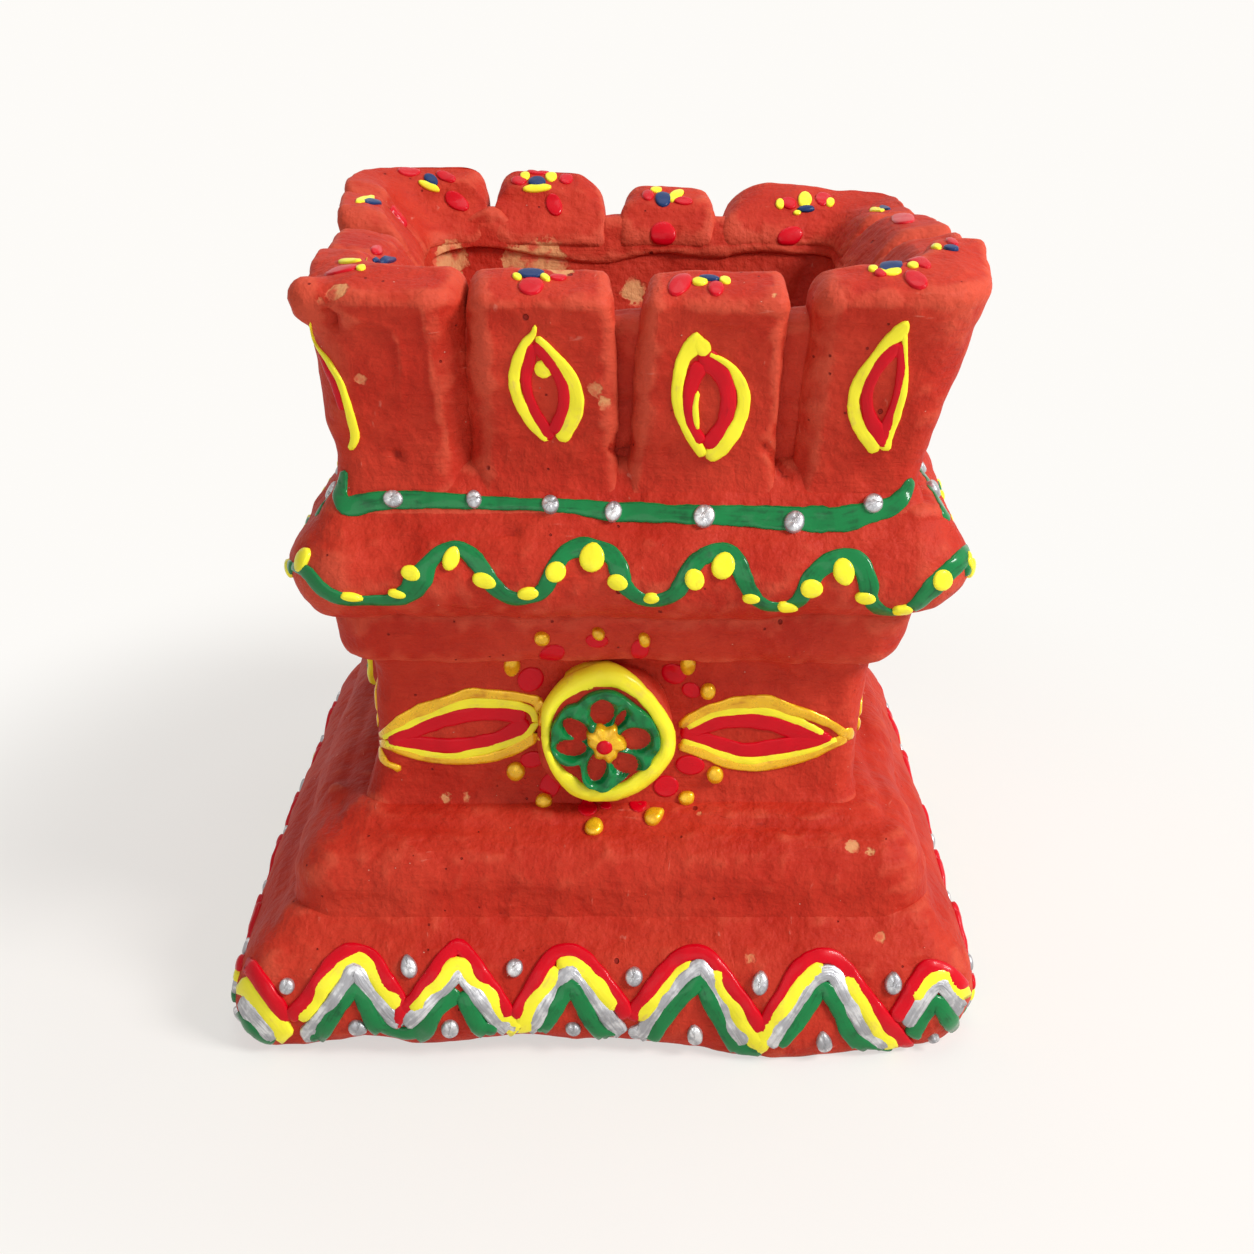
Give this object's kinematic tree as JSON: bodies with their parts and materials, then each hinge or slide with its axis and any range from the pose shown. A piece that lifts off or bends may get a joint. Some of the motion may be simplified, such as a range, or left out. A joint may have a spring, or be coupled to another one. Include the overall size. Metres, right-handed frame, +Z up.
{
  "type": "square clay planter",
  "caption": "Square altar-shaped clay planter with a stepped plinth, waisted shaft, rolled cornice and a leaning crown of petal-shaped merlons round an open planting well.",
  "frame": {"origin": "centre of the square foot, on the surface that the planter stands on", "axes": "+Z up, -Y towards the viewer of the front medallion, +X to the right"},
  "size_m": [0.1418, 0.1418, 0.1412],
  "materials": {
    "painted_clay": "matte brick-red paint on hand-built clay",
    "paint_yellow": "glossy raised relief paint",
    "paint_crimson": "glossy raised relief paint",
    "paint_green": "glossy raised relief paint",
    "paint_silver": "metallic raised relief paint",
    "paint_gold": "metallic raised relief paint",
    "paint_navy": "glossy raised relief paint"
  },
  "bodies": {
    "root": {"band_beads_silver": "paint_silver", "band_green": "paint_green", "basin_wall": "painted_clay", "corner_merlon_back_left": "painted_clay", "corner_merlon_back_right": "painted_clay", "corner_merlon_front_left": "painted_clay", "corner_merlon_front_right": "painted_clay", "cornice_lip": "painted_clay", "cushion_moulding": "painted_clay", "floor_slab": "painted_clay", "flower_hearts_blue": "paint_navy", "flower_petals_red": "paint_crimson", "flower_strokes_yellow": "paint_yellow", "halo_beads_gold": "paint_gold", "halo_dots_red": "paint_crimson", "medallion_back": "painted_clay", "medallion_front": "painted_clay", "medallion_left": "painted_clay", "medallion_right": "painted_clay", "merlon_back_1": "painted_clay", "merlon_back_2": "painted_clay", "merlon_eye_red": "paint_crimson", "merlon_eye_yellow": "paint_yellow", "merlon_front_1": "painted_clay", "merlon_front_2": "painted_clay", "merlon_left_1": "painted_clay", "merlon_left_2": "painted_clay", "merlon_right_1": "painted_clay", "merlon_right_2": "painted_clay", "plinth_skirt": "painted_clay", "plinth_step": "painted_clay", "rim_lining": "painted_clay", "rosette_eye_red": "paint_crimson", "rosette_ring_yellow": "paint_yellow", "rosette_star_gold": "paint_gold", "rosette_tracery_green": "paint_green", "shoulder_slope": "painted_clay", "vine_beads_yellow": "paint_yellow", "vine_green": "paint_green", "waist_leaf_gold": "paint_gold", "waist_leaf_red": "paint_crimson", "waist_leaf_yellow": "paint_yellow", "waist_wall": "painted_clay", "zigzag_beads_lower": "paint_silver", "zigzag_beads_upper": "paint_silver", "zigzag_green": "paint_green", "zigzag_red": "paint_crimson", "zigzag_silver": "paint_silver", "zigzag_yellow": "paint_yellow"}
  },
  "joints": []
}
